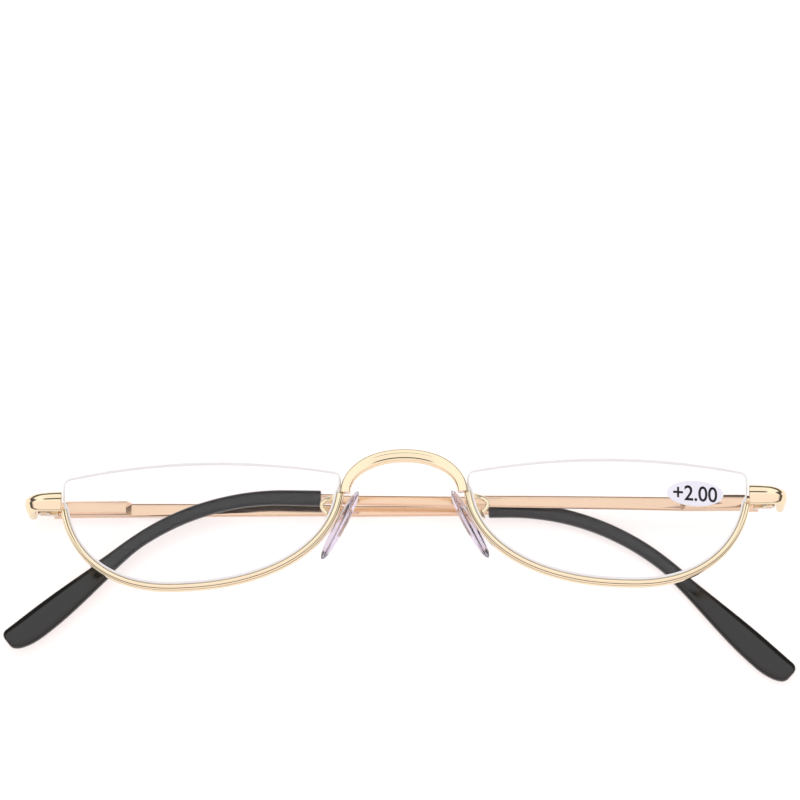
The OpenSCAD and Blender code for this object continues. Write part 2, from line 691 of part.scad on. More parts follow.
at_lens(true) lens();  // lens_left
at_lens(false) lens();  // lens_right
at_lens(true) rim();  // rim_left
at_lens(false) rim();  // rim_right
on_front() bridge();
on_side(true) endpiece();  // endpiece_left
on_side(false) endpiece();  // endpiece_right
at_front_pin(true) front_hinge();  // front_hinge_left
at_front_pin(false) front_hinge();  // front_hinge_right
on_side(true) pad_arm();  // pad_arm_left
on_side(false) pad_arm();  // pad_arm_right
at_pad(true) pad_box();  // pad_box_left
at_pad(false) pad_box();  // pad_box_right
union() {  // pad_screws
    at_pad(true) pad_screw();
    at_pad(false) pad_screw();
}
at_pad(true) nose_pad();  // nose_pad_left
at_pad(false) nose_pad();  // nose_pad_right
at_pad(true) pad_insert();  // pad_insert_left
at_pad(false) pad_insert();  // pad_insert_right
at_lens(false) power_sticker();
at_arm(true) hinge_slide();  // hinge_slide_left
at_arm(false) hinge_slide();  // hinge_slide_right
at_arm(true) hinge_screw();  // hinge_screw_left
at_arm(false) hinge_screw();  // hinge_screw_right
at_arm(true) hinge_spring();  // hinge_spring_left
at_arm(false) hinge_spring();  // hinge_spring_right
at_arm(true) spring_box();  // spring_box_left
at_arm(false) spring_box();  // spring_box_right
at_arm(true) arm(lower_bend);  // arm_left
at_arm(false) arm(upper_bend);  // arm_right
at_arm(true) tip(lower_bend);  // tip_left
at_arm(false) tip(upper_bend);  // tip_right
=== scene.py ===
import bpy
import bmesh
import math
import numpy as np
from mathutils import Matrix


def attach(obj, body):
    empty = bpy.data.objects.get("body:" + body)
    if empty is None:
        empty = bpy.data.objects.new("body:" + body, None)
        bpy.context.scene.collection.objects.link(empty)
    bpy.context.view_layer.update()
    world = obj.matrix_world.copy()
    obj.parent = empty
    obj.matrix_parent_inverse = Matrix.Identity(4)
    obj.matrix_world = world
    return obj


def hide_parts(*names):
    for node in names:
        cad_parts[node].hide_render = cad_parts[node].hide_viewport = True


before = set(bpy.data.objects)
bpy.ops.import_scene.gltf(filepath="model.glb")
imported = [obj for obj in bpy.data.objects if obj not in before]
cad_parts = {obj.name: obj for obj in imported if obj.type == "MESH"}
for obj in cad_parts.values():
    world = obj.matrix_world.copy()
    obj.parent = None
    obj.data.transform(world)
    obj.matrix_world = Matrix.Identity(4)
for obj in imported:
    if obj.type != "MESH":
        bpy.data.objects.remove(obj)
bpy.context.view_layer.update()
bpy.context.scene.view_settings.view_transform = "Standard"
mm = 0.001

# Sizes of the whole pair, in millimetres and degrees, as the frame was built
glasses = {
    "frameWidth": 138.0, "pinInset": 3.2, "pinBack": 4.2,
    "frontLean": 2.0, "upperArmLean": 1.5,
    "bridgeFoot": 0.2, "bridgeRise": 6.6, "bridgeHeight": 2.4,
    "seatGap": 0.02, "grooveGap": 0.05,
}
lensShape = {
    "middle": 36.4, "out": 25.6, "inner": 24.9, "top": 5.8, "bottom": 17.2, "droop": 4.2,
    "square": 2.2, "topRadius": 184.0, "corner": 1.5, "thick": 2.2,
    "frontRadius": 110.0, "backRadius": 164.0, "wrap": 3.0,
    "ridgeThick": 0.7, "ridgeHeight": 0.45, "ridgeSoft": 0.03, "edgeRound": 0.22,
    "stepTurn": 4, "heart": (1.0, -0.5), "faceRings": 21, "edgeRings": 11,
    "lowerPoints": 181, "cornerPoints": 11, "topPoints": 71,
}
rimShape = {"width": 1.15, "depth": 1.65, "lineDepth": 0.13, "endpieceHeight": 3.5, "corner": 0.06,
            "endSoft": 0.1, "rings": 170}
armShape = {
    "length": 81.5, "height": 2.5, "heightEnd": 1.7, "thick": 1.1, "full": 145.7,
    "earRadius": 44.0, "buttBack": 1.7, "boxLength": 13.5, "inTip": 0.3, "corner": 0.5, "endSoft": 0.12,
    "afterBox": 0.4, "rings": (16, 70),
}
lowerBend = {"rise": 0.0, "start": 84.5, "angle": 43.0}
upperBend = {"rise": 1.2, "start": 88.0, "angle": 40.0}
tipShape = {
    "width": 2.8, "waist": 0.12, "waistOver": 20, "paddle": 5.2, "paddleStart": 31, "paddleOver": 24,
    "above": 0.4, "below": 0.6, "overhang": 0.17, "thick": 2.4, "slope": 0.8, "corner": 0.22, "endSoft": 0.22,
    "endAbove": (1.2, 0.5), "endBelow": (6, 0.25), "endThick": (1.6, 0.6), "rings": (110, 34),
}


# Small helpers for arrays of points

def unitRows(v):  # each row divided by its length
    return v / np.linalg.norm(v, axis=-1, keepdims=True)


def turned(axis, degrees):  # the matrix of a right-hand turn about Y or Z
    c, s = math.cos(math.radians(degrees)), math.sin(math.radians(degrees))
    rows = {"y": [[c, 0, s], [0, 1, 0], [-s, 0, c]], "z": [[c, -s, 0], [s, c, 0], [0, 0, 1]]}
    return np.array(rows[axis])


def roundAngles(count):  # the angles of count points, evenly round a circle
    return np.radians(np.arange(count) * 360 / count)


def powerOf(v, p):  # v to the power p, with nothing below zero
    return np.clip(v, 0, None) ** p


def easeIn(t):  # 0 to 1 with a level start and end: t squared times 3 less 2t
    t = np.clip(t, 0, 1)
    return t * t * (3 - 2 * t)


def evenSteps(curve, low, high, count):  # parameters that cut a curve into equal lengths
    dense = np.linspace(low, high, 4000)
    way = np.concatenate([[0], np.cumsum(np.linalg.norm(np.diff(curve(dense), axis=0), axis=1))])
    return np.interp(np.linspace(0, way[-1], count), way, dense)


def roundedLoop(loop, radius, cuts):
    # Each corner becomes a small parabola between two points that lie radius along its two edges, or a
    # largest share of the edge where that is less
    most = 0.45
    before, after = np.roll(loop, 1, axis=-2), np.roll(loop, -1, axis=-2)
    lengthA = np.linalg.norm(before - loop, axis=-1, keepdims=True)
    lengthB = np.linalg.norm(after - loop, axis=-1, keepdims=True)
    a = loop + (before - loop) * np.minimum(radius / lengthA, most)
    b = loop + (after - loop) * np.minimum(radius / lengthB, most)
    t = np.linspace(0, 1, cuts)[:, None]
    a, corner, b = a[..., None, :], loop[..., None, :], b[..., None, :]
    bent = (1 - t) ** 2 * a + 2 * t * (1 - t) * corner + t ** 2 * b
    return bent.reshape(*loop.shape[:-2], -1, loop.shape[-1])


def softEnds(rings, radius):
    # Both end rings are drawn in along a quarter circle, so that each end has a rounded edge
    def ending(ring, inner):
        middle = ring.mean(axis=0)
        along = unitRows((middle - inner.mean(axis=0))[None])[0]
        reach = np.linalg.norm(ring - middle, axis=1).mean()
        angle = np.radians([0, 30, 60, 90])[:, None, None]
        shrink = 1 - radius * (1 - np.cos(angle)) / reach
        return middle + (ring - middle)[None] * shrink - along * radius * (1 - np.sin(angle))
    return np.concatenate([ending(rings[0], rings[1])[::-1], rings[1:-1], ending(rings[-1], rings[-2])])


def skinFaces(ringCount, pointCount):  # four-sided faces between neighbouring closed rings
    i, j = np.meshgrid(np.arange(ringCount - 1), np.arange(pointCount), indexing="ij")
    a = i * pointCount + j
    b = i * pointCount + (j + 1) % pointCount
    return np.stack([a, b, b + pointCount, a + pointCount], axis=-1).reshape(-1, 4)


def enclosed(points, faces):  # six times the volume, by the triple products of each face's corners
    p = points[faces]
    first = np.einsum("ij,ij->i", p[:, 0], np.cross(p[:, 1], p[:, 2]))
    return (first + np.einsum("ij,ij->i", p[:, 0], np.cross(p[:, 2], p[:, 3]))).sum()


def meshFrom(name, points, faces, sharpAngle):
    mesh = bpy.data.meshes.new(name)
    mesh.from_pydata((points * mm).tolist(), [], faces)
    mesh.polygons.foreach_set("use_smooth", np.ones(len(mesh.polygons), bool))
    mesh.set_sharp_from_angle(angle=math.radians(sharpAngle))
    mesh.update()
    return mesh


def finishPiece(name, mesh, body, nodes, material):
    piece = bpy.data.objects.new(name, mesh)
    bpy.context.scene.collection.objects.link(piece)
    piece.data.materials.clear()
    piece.data.materials.append(material)
    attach(piece, body)
    if nodes:
        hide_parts(*nodes)
    return piece


def skinPiece(name, rings, put, body, nodes, material, sharpAngle=34, band=None):
    # A closed skin: rings joined by four-sided faces, with one flat face at each end. The band names a
    # second material for the faces between two of the rings.
    ringCount, pointCount = rings.shape[:2]
    points = put(rings.reshape(-1, 3))
    quads = skinFaces(ringCount, pointCount)
    low = np.arange(pointCount)[::-1]
    high = np.arange(pointCount) + (ringCount - 1) * pointCount
    if enclosed(points, quads) < 0:
        quads, low, high = quads[:, ::-1], low[::-1], high[::-1]
    faces = quads.tolist() + [low.tolist(), high.tolist()]
    piece = finishPiece(name, meshFrom(name, points, faces, sharpAngle), body, nodes, material)
    if band:
        piece.data.materials.append(band[0])
        row = np.arange(len(faces)) // pointCount
        banded = (row >= band[1]) & (row < band[2])
        piece.data.polygons.foreach_set("material_index", banded.astype(np.int32))
    return piece


# How a solid's copy is smoothed: lengths in millimetres, angles in degrees
polish = {"merge": 0.0002, "flatBelow": 1.0, "upperBand": 0.45, "longEdge": 6.0, "foldAbove": 28.6,
          "smoothBelow": 30.0, "bevelAbove": 32.0}


def polishedCopy(node, body, material, edge=0.05, upperEdge=0.0):
    # The solid's own faces, joined up, with their edges broken by a small bevel. Where upperEdge is given,
    # the long edges round the upper face are rounded off by that much first.
    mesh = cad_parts[node].data.copy()
    work = bmesh.new()
    work.from_mesh(mesh)
    bmesh.ops.remove_doubles(work, verts=work.verts, dist=polish["merge"] * mm)
    bmesh.ops.dissolve_limit(work, angle_limit=math.radians(polish["flatBelow"]), verts=work.verts,
                             edges=work.edges)
    if upperEdge:
        level = max(v.co.z for v in work.verts) - polish["upperBand"] * mm
        fold = math.radians(polish["foldAbove"])
        longest = [e for e in work.edges
                   if e.calc_length() > polish["longEdge"] * mm and e.calc_face_angle(0) > fold
                   and min(v.co.z for v in e.verts) > level]
        bmesh.ops.bevel(work, geom=longest, offset=upperEdge * mm, segments=2, profile=0.5, affect="EDGES",
                        clamp_overlap=True)
    work.to_mesh(mesh)
    work.free()
    mesh.polygons.foreach_set("use_smooth", np.ones(len(mesh.polygons), bool))
    mesh.set_sharp_from_angle(angle=math.radians(polish["smoothBelow"]))
    piece = finishPiece(node + "_polished", mesh, body, [node], material)
    bevel = piece.modifiers.new("brokenEdge", "BEVEL")
    bevel.width, bevel.segments, bevel.limit_method = edge * mm, 2, "ANGLE"
    bevel.angle_limit = math.radians(polish["bevelAbove"])
    bevel.harden_normals = True
    return piece


def feed(tree, socket, value):  # a link from a socket or from a node's first output, or a plain value
    source = value.outputs[0] if isinstance(value, bpy.types.Node) else value
    if isinstance(source, bpy.types.NodeSocket):
        tree.links.new(source, socket)
    else:
        socket.default_value = source


def addNode(tree, kind, *given, **settings):  # given feeds the node's inputs in turn
    node = tree.nodes.new(kind)
    for key, value in settings.items():
        setattr(node, key, value)
    for socket, value in zip(node.inputs, given):
        feed(tree, socket, value)
    return node


def addNoise(tree, place, scale, detail):
    noise = addNode(tree, "ShaderNodeTexNoise", place)
    feed(tree, noise.inputs["Scale"], scale)
    feed(tree, noise.inputs["Detail"], detail)
    return noise.outputs["Fac"]


def mixNumbers(tree, share, first, second):  # a mix node holds its two numbers in sockets 2 and 3
    mix = addNode(tree, "ShaderNodeMix", share, data_type="FLOAT")
    feed(tree, mix.inputs[2], first)
    feed(tree, mix.inputs[3], second)
    return mix.outputs[0]


def mixColours(tree, share, first, second):  # and its two colours in sockets 6 and 7
    mix = addNode(tree, "ShaderNodeMix", share, data_type="RGBA")
    feed(tree, mix.inputs[6], first)
    feed(tree, mix.inputs[7], second)
    return mix.outputs[2]


def onlyMirrored(tree, path):  # 1 for rays off a polished face that haven't come through a lens
    return addNode(tree, "ShaderNodeMath", path["Is Glossy Ray"], path["Is Transmission Ray"],
                   operation="GREATER_THAN")


def makeGroup(name, inputs, outputs):
    group = bpy.data.node_groups.new(name, "ShaderNodeTree")
    for label, kind, value in inputs:
        socket = group.interface.new_socket(name=label, in_out="INPUT", socket_type="NodeSocket" + kind)
        socket.default_value = value
    for label, kind in outputs:
        group.interface.new_socket(name=label, in_out="OUTPUT", socket_type="NodeSocket" + kind)
    return group, group.nodes.new("NodeGroupInput"), group.nodes.new("NodeGroupOutput")


wear = {"cloudDetail": 5, "grainDetail": 3, "grainStretch": (0.06, 1, 1), "noiseRange": (0.12, 0.42),
        "grainDepth": 0.00003}


def makeHandling():
    # Polish that varies: clouds of noise shift colour and roughness, long fine noise gives hairlines
    group, given, made = makeGroup(
        "handling",
        [("Colour", "Color", (0.8, 0.8, 0.8, 1)), ("Second Colour", "Color", (0.7, 0.7, 0.7, 1)),
         ("Cloud Scale", "Float", 60.0), ("Grain Scale", "Float", 2500.0),
         ("Smoothest", "Float", 0.08), ("Roughest", "Float", 0.18)],
        [("Colour", "Color"), ("Roughness", "Float"), ("Height", "Float")])
    given, made = given.outputs, made.inputs
    place = addNode(group, "ShaderNodeTexCoord").outputs["Object"]
    cloud = addNoise(group, place, given["Cloud Scale"], wear["cloudDetail"])
    stretch = addNode(group, "ShaderNodeVectorMath", place, wear["grainStretch"], operation="MULTIPLY")
    hair = addNoise(group, stretch, given["Grain Scale"], wear["grainDetail"])
    both = addNode(group, "ShaderNodeMath", cloud, hair, operation="MULTIPLY")
    feed(group, made["Colour"], mixColours(group, cloud, given["Colour"], given["Second Colour"]))
    feed(group, made["Roughness"], addNode(group, "ShaderNodeMapRange", both, *wear["noiseRange"],
                                           given["Smoothest"], given["Roughest"]))
    feed(group, made["Height"], hair)
    return group


handling = makeHandling()


def handledMaterial(name, values, constants, bumpStrength=0.04):
    material = bpy.data.materials.new(name)
    material.use_nodes = True
    tree = material.node_tree
    shader = tree.nodes["Principled BSDF"]
    marks = addNode(tree, "ShaderNodeGroup", node_tree=handling)
    for label, value in values.items():
        marks.inputs[label].default_value = value
    feed(tree, shader.inputs["Base Color"], marks.outputs["Colour"])
    feed(tree, shader.inputs["Roughness"], marks.outputs["Roughness"])
    bump = addNode(tree, "ShaderNodeBump", bumpStrength, wear["grainDepth"])
    feed(tree, bump.inputs["Height"], marks.outputs["Height"])
    feed(tree, shader.inputs["Normal"], bump)
    for label, value in constants.items():
        shader.inputs[label].default_value = value
    return material


def letLampsThrough(material, clearColour):
    # Rays from lamps and from dull faces pass the clear piece straight, all other rays see it as it is
    tree = material.node_tree
    path = addNode(tree, "ShaderNodeLightPath").outputs
    clear = addNode(tree, "ShaderNodeBsdfTransparent", clearColour)
    either = addNode(tree, "ShaderNodeMath", path["Is Shadow Ray"], path["Is Diffuse Ray"],
                     operation="MAXIMUM")
    mix = addNode(tree, "ShaderNodeMixShader", either, tree.nodes["Principled BSDF"], clear)
    feed(tree, tree.nodes["Material Output"].inputs["Surface"], mix)


def paleInMirror(material, pale):
    # Seen in another polished face the metal is paler, so that two arms side by side don't turn orange
    tree = material.node_tree
    colour = tree.nodes["Principled BSDF"].inputs["Base Color"]
    path = addNode(tree, "ShaderNodeLightPath").outputs
    feed(tree, colour, mixColours(tree, onlyMirrored(tree, path), colour.links[0].from_socket, pale))


frontGold = handledMaterial(
    "frontGold",
    {"Colour": (0.96, 0.83, 0.60, 1), "Second Colour": (0.93, 0.77, 0.53, 1), "Cloud Scale": 90.0,
     "Grain Scale": 2600.0, "Smoothest": 0.06, "Roughest": 0.15},
    {"Metallic": 1.0})
armGold = handledMaterial(
    "armGold",
    {"Colour": (0.87, 0.635, 0.46, 1), "Second Colour": (0.82, 0.585, 0.42, 1), "Cloud Scale": 70.0,
     "Grain Scale": 3200.0, "Smoothest": 0.10, "Roughest": 0.22},
    {"Metallic": 1.0}, bumpStrength=0.08)
paleInMirror(armGold, (0.97, 0.86, 0.74, 1))
hingeGold = handledMaterial(
    "hingeGold",
    {"Colour": (0.86, 0.62, 0.36, 1), "Second Colour": (0.72, 0.47, 0.25, 1), "Cloud Scale": 300.0,
     "Grain Scale": 5200.0, "Smoothest": 0.12, "Roughest": 0.30},
    {"Metallic": 1.0})
springSteel = handledMaterial(
    "springSteel",
    {"Colour": (0.88, 0.77, 0.65, 1), "Second Colour": (0.76, 0.64, 0.52, 1), "Cloud Scale": 400.0,
     "Grain Scale": 6000.0, "Smoothest": 0.14, "Roughest": 0.32},
    {"Metallic": 1.0})
tipPlastic = handledMaterial(
    "tipPlastic",
    {"Colour": (0.006, 0.006, 0.006, 1), "Second Colour": (0.011, 0.010, 0.009, 1), "Cloud Scale": 45.0,
     "Grain Scale": 1500.0, "Smoothest": 0.12, "Roughest": 0.26},
    {"IOR": 1.55}, bumpStrength=0.05)
stickerFilm = handledMaterial(
    "stickerFilm",
    {"Colour": (0.86, 0.83, 0.94, 1), "Second Colour": (0.89, 0.87, 0.96, 1), "Cloud Scale": 500.0,
     "Grain Scale": 4000.0, "Smoothest": 0.38, "Roughest": 0.52},
    {"IOR": 1.45})
numberInk = handledMaterial(
    "numberInk",
    {"Colour": (0.004, 0.004, 0.006, 1), "Second Colour": (0.010, 0.010, 0.014, 1), "Cloud Scale": 900.0,
     "Grain Scale": 6000.0, "Smoothest": 0.4, "Roughest": 0.6},
    {"IOR": 1.45})
lensPlastic = handledMaterial(
    "lensPlastic",
    {"Colour": (0.985, 0.988, 0.992, 1), "Second Colour": (0.978, 0.98, 0.988, 1), "Cloud Scale": 40.0,
     "Grain Scale": 900.0, "Smoothest": 0.0, "Roughest": 0.012},
    {"Transmission Weight": 1.0, "IOR": 1.49, "Specular Tint": (0.25, 0.25, 0.27, 1)}, bumpStrength=0.004)
letLampsThrough(lensPlastic, (0.97, 0.97, 0.98, 1))
groundEdge = handledMaterial(
    "groundEdge",
    {"Colour": (0.88, 0.845, 0.85, 1), "Second Colour": (0.94, 0.91, 0.92, 1), "Cloud Scale": 300.0,
     "Grain Scale": 4000.0, "Smoothest": 0.3, "Roughest": 0.5},
    {"IOR": 1.49}, bumpStrength=0.2)
letLampsThrough(groundEdge, (0.96, 0.94, 0.95, 1))
padSilicone = handledMaterial(
    "padSilicone",
    {"Colour": (0.83, 0.79, 0.94, 1), "Second Colour": (0.76, 0.72, 0.90, 1), "Cloud Scale": 260.0,
     "Grain Scale": 1800.0, "Smoothest": 0.04, "Roughest": 0.13},
    {"Transmission Weight": 1.0, "IOR": 1.42}, bumpStrength=0.12)
letLampsThrough(padSilicone, (0.86, 0.85, 0.92, 1))
print("materials ready")


# Places of the front, a lens, a nose pad and an arm

pinOut = glasses["frameWidth"] / 2 - glasses["pinInset"]
leanRad = math.radians(glasses["frontLean"])
frontUp = glasses["pinInset"] + pinOut * math.sin(leanRad) + glasses["pinBack"] * math.cos(leanRad)
lowerX = -pinOut * math.cos(leanRad) + glasses["pinBack"] * math.sin(leanRad)
upperX = pinOut * math.cos(leanRad) + glasses["pinBack"] * math.sin(leanRad)
upperZ = frontUp + pinOut * math.sin(leanRad) - glasses["pinBack"] * math.cos(leanRad)
boxEnd = armShape["buttBack"] + armShape["boxLength"]


def armRoute(s, bend):
    # Straight, then a circle's arc round the ear, then straight; past the spring box it all turns up by the
    # rise. Gives the way along, the height and the heading at each length s.
    s = np.asarray(s, float)
    full = math.radians(bend["angle"])
    turn = np.clip((s - bend["start"]) / armShape["earRadius"], 0, full)
    past = np.clip(s - bend["start"] - armShape["earRadius"] * full, 0, None)
    x = np.minimum(s, bend["start"]) + armShape["earRadius"] * np.sin(turn) + past * math.cos(full)
    y = -armShape["earRadius"] * (1 - np.cos(turn)) - past * math.sin(full)
    up = np.where(s <= boxEnd, 0.0, math.radians(bend["rise"]))
    px = boxEnd + (x - boxEnd) * np.cos(up) - y * np.sin(up)
    py = (x - boxEnd) * np.sin(up) + y * np.cos(up)
    return px, py, up - turn


bridgeTop = glasses["bridgeFoot"] + glasses["bridgeRise"] + glasses["bridgeHeight"] / 2
lowerEnd, upperEnd = armRoute(armShape["full"], lowerBend), armRoute(armShape["full"], upperBend)
middleY = -(bridgeTop + float(lowerEnd[1]) - tipShape["paddle"] * tipShape["overhang"]) / 2
upperReach = float(upperEnd[0]) * math.cos(math.radians(glasses["upperArmLean"]))
middleX = -(lowerX + float(lowerEnd[0]) + upperX - upperReach) / 2


def onSide(left):  # the front leans about Y; the viewer's left half is the right half mirrored
    flip = np.array([-1.0 if left else 1.0, 1, 1])
    lean = turned("y", -glasses["frontLean"])
    return lambda p: (p * flip) @ lean.T + np.array([middleX, middleY, frontUp])


def atLens(left):
    wrap = turned("y", lensShape["wrap"])
    side = onSide(left)
    return lambda p: side(p @ wrap.T + np.array([lensShape["middle"], 0, lensForward]))


padShape = {
    "length": 14.2, "width": 6.4, "thick": 2.1, "out": 11.5, "down": 3.7, "back": 2.8,
    "slope": 27.0, "splay": 14.0, "seat": 1.95, "fullness": 0.8, "uneven": 0.12, "sag": 0.6, "lift": 0.9,
    "rings": 34, "points": 60,
}
wireShape = {
    "radius": 0.45, "footSwell": 0.35, "footReach": 0.05, "boxDepth": 1.12, "rimHold": 0.12, "backHold": 0.05,
    "leaveRim": (1.2, 0.2, -3.6), "reachBox": (0.5, 1.2, 0), "straight": 2.9, "endSoft": 0.08,
    "footUp": 0.1, "rings": 60, "points": 20,
}


def atPad(left):
    turnPad = turned("z", padShape["slope"]) @ turned("y", -padShape["splay"])
    middle = np.array([padShape["out"], -padShape["down"], -padShape["back"]])
    side = onSide(left)
    return lambda p: side((p * [-1, 1, 1] + [padShape["seat"], 0, 0]) @ turnPad.T + middle)


def atArm(left):  # an arm runs from its pin, outer face down; the upper one leans over the lower
    lean = turned("y", glasses["upperArmLean"])
    if left:
        return lambda p: p + np.array([middleX + lowerX, middleY, glasses["pinInset"]])
    return lambda p: (p @ lean.T) * [-1, 1, 1] + np.array([middleX + upperX, middleY, upperZ])


# Lens outline and surfaces

cornerX = (lensShape["out"] + lensShape["inner"]) / 2 - lensShape["corner"]
outlineMid = (lensShape["out"] - lensShape["inner"]) / 2
topCentre = lensShape["top"] - lensShape["topRadius"]
cornerY = topCentre + math.sqrt((lensShape["topRadius"] - lensShape["corner"]) ** 2 - cornerX ** 2)
cornerTurn = math.degrees(math.atan2(cornerY - topCentre, cornerX))
lensY = (lensShape["top"] - lensShape["bottom"]) / 2
ridgeRadius = 2 / (1 / lensShape["frontRadius"] + 1 / lensShape["backRadius"])


def lowerOutline(angle):
    # Superellipse: reach times cos to 2/n across and drop times sin to 2/n down, wider outward of its low
    # point
    c, s = np.cos(np.radians(angle)), np.sin(np.radians(angle))
    reach = np.where(c > 0, lensShape["out"] - lensShape["droop"], -lensShape["inner"] - lensShape["droop"])
    x = lensShape["droop"] + reach * powerOf(np.abs(c), 2 / lensShape["square"])
    y = cornerY - (cornerY + lensShape["bottom"]) * powerOf(s, 2 / lensShape["square"])
    return np.stack([x, y], axis=-1)


def outwardOf(loop, closed=True):  # the left-hand normal of each point's two edges, averaged
    if closed:
        step = unitRows(np.roll(loop, -1, axis=0) - loop)
        step = unitRows(step + np.roll(step, 1, axis=0))
    else:
        step = unitRows(np.gradient(loop, axis=0))
    return np.stack([-step[:, 1], step[:, 0]], axis=-1)


def cap(radius, top, p):  # height of a ball of that radius whose highest point is at top
    return top - radius + np.sqrt(radius ** 2 - p[..., 0] ** 2 - (p[..., 1] - lensY) ** 2)


def ridgeHeightAt(p):
    return cap(ridgeRadius, 0.0, p)


rimInner = glasses["grooveGap"] - lensShape["ridgeHeight"]
rimMiddle = rimInner + rimShape["width"] / 2


def angleAt(down):  # the outline angle at which the lower outline has dropped by down
    return math.degrees(math.asin((down / (cornerY + lensShape["bottom"])) ** (lensShape["square"] / 2)))


rimOuterAngle = angleAt(cornerY + rimShape["endpieceHeight"] / 2 + glasses["seatGap"])
rimInnerAngle = 180 - angleAt(cornerY - glasses["bridgeFoot"] + glasses["seatGap"])
rimEnd = lowerOutline(np.array([rimOuterAngle]))[0]
rimStart = lowerOutline(np.array([rimInnerAngle]))[0]
wrapRad = math.radians(lensShape["wrap"])
lensForward = float(-ridgeHeightAt(rimEnd) * math.cos(wrapRad) + rimEnd[0] * math.sin(wrapRad))
footZ = float(lensForward + ridgeHeightAt(rimStart) * math.cos(wrapRad) - rimStart[0] * math.sin(wrapRad))
edgeX = float(lensShape["middle"] + rimStart[0] * math.cos(wrapRad)
              + ridgeHeightAt(rimStart) * math.sin(wrapRad))


def lensRings():
    # Rings from the front's middle to the edge, over the edge ridge, and back to the middle behind. Under
    # the rim the edge steps in to a ridge; along the bare top it stays at full thickness.
    lower = np.linspace(0, 180, lensShape["lowerPoints"])[:-1]
    cornerA = np.linspace(0, cornerTurn, lensShape["cornerPoints"])[:-1]
    arc = np.linspace(180 - cornerTurn, cornerTurn, lensShape["topPoints"])[:-1]

    def cornerArc(side, a):
        r = np.radians(a)
        return np.stack([outlineMid + side * (cornerX + lensShape["corner"] * np.cos(r)),
                         cornerY + lensShape["corner"] * np.sin(r)], axis=-1)

    r = np.radians(arc)
    top = np.stack([outlineMid + lensShape["topRadius"] * np.cos(r),
                    topCentre + lensShape["topRadius"] * np.sin(r)], axis=-1)
    loop = np.concatenate([lowerOutline(lower), cornerArc(-1, cornerA), top,
                           cornerArc(1, cornerTurn - cornerA)])
    over = lensShape["stepTurn"]
    held = easeIn((lower - rimOuterAngle + over) / over) * easeIn((rimInnerAngle + over - lower) / over)
    bare = np.concatenate([1 - held, np.ones(len(loop) - len(lower))])
    normal = outwardOf(loop)
    inset = (lensShape["ridgeHeight"] * (1 - bare))[:, None]
    body = loop - normal * inset
    edge = lensShape["edgeRound"]
    inner = body - normal * edge * 1.7
    half = lensShape["ridgeThick"] / 2
    soft = lensShape["ridgeSoft"]
    middle = np.array([outlineMid, lensY]) + lensShape["heart"]

    def ring(p, z):
        return np.concatenate([p, np.broadcast_to(z, (len(p),))[:, None]], axis=1)

    def front(p):
        return cap(lensShape["frontRadius"], lensShape["thick"] / 2, p)

    def behind(p):
        return cap(lensShape["backRadius"], -lensShape["thick"] / 2, p)

    def blendZ(p, step, bareZ):
        return (ridgeHeightAt(p) + step) * (1 - bare) + bareZ * bare

    def halfEdge(face, sign):  # from a face over its rounded edge, by shares of the radius, to the crest
        return [ring(inner, face(inner)),
                ring(body - normal * edge * 0.3, face(body) - sign * edge * 0.3),
                ring(body, face(body) - sign * edge),
                ring(body - normal * 0.001, blendZ(body, sign * half, face(body) - sign * edge * 1.3)),
                ring(loop - normal * soft, blendZ(loop, sign * half, face(loop) - sign * edge * 1.6)),
                ring(loop, blendZ(loop, sign * (half - 0.04), face(loop) - sign * edge * 2))]

    shares = np.concatenate([[0.008], np.linspace(0.06, 0.98, lensShape["faceRings"] - 1)])
    flat = [middle + (body - middle) * share for share in shares]
    rings = [ring(p, front(p)) for p in flat] + halfEdge(front, 1)
    rings += halfEdge(behind, -1)[::-1] + [ring(p, behind(p)) for p in flat[::-1]]
    return np.stack(rings)


for side in ("left", "right"):
    skinPiece("clear_lens_" + side, lensRings(), atLens(side == "left"), "front", ["lens_" + side],
              lensPlastic, sharpAngle=28,
              band=(groundEdge, lensShape["faceRings"], lensShape["faceRings"] + lensShape["edgeRings"]))
print("lenses ready")


def rimRings():
    # A beaded wire section, carried along the lower outline and tilted with the lens edge. Its points are
    # given outward from the lens outline and forward of the wire's middle.
    face, outer = rimShape["depth"] / 2, rimInner + rimShape["width"]
    line, groove = rimShape["lineDepth"], lensShape["ridgeThick"] / 2 + glasses["grooveGap"]
    section = np.array([
        [rimInner, -groove - 0.1], [rimInner, -face + 0.12], [rimInner + 0.14, -face],
        [outer - 0.3, -face], [outer - 0.06, -face + 0.22], [outer, -face + 0.5],
        [outer, face - 0.5], [outer - 0.04, face - 0.26], [outer - 0.16, face - 0.12],
        [rimMiddle + 0.25, face], [rimMiddle + 0.04, face - line], [rimMiddle - 0.02, face - line],
        [rimMiddle - 0.22, face - 0.05], [rimInner + 0.2, face - 0.04], [rimInner + 0.09, face - 0.08],
        [rimInner, face - 0.16], [rimInner, groove + 0.1],
        [glasses["grooveGap"] + 0.02, groove - 0.03], [glasses["grooveGap"] + 0.02, 0.03 - groove]])
    section = roundedLoop(section, rimShape["corner"], 4)
    angles = evenSteps(lowerOutline, rimInnerAngle, rimOuterAngle, rimShape["rings"])
    path = lowerOutline(angles)
    out = -outwardOf(path, closed=False)
    flat = path[:, None, :] + section[None, :, :1] * out[:, None, :]
    z = ridgeHeightAt(flat) + section[None, :, 1]
    return softEnds(np.concatenate([flat, z[..., None]], axis=-1), rimShape["endSoft"])


for side in ("left", "right"):
    skinPiece("rim_wire_" + side, rimRings(), atLens(side == "left"), "front",
              ["rim_" + side], frontGold, sharpAngle=40)

bridgeShape = {"depth": 2.0, "forward": 0.9, "footWidth": 1.9, "square": 2.1, "swell": 1.5,
               "flute": 0.17, "fluteRise": 1.8, "fluteStart": 0.45, "corner": 0.1, "endSoft": 0.08,
               "rings": 130}


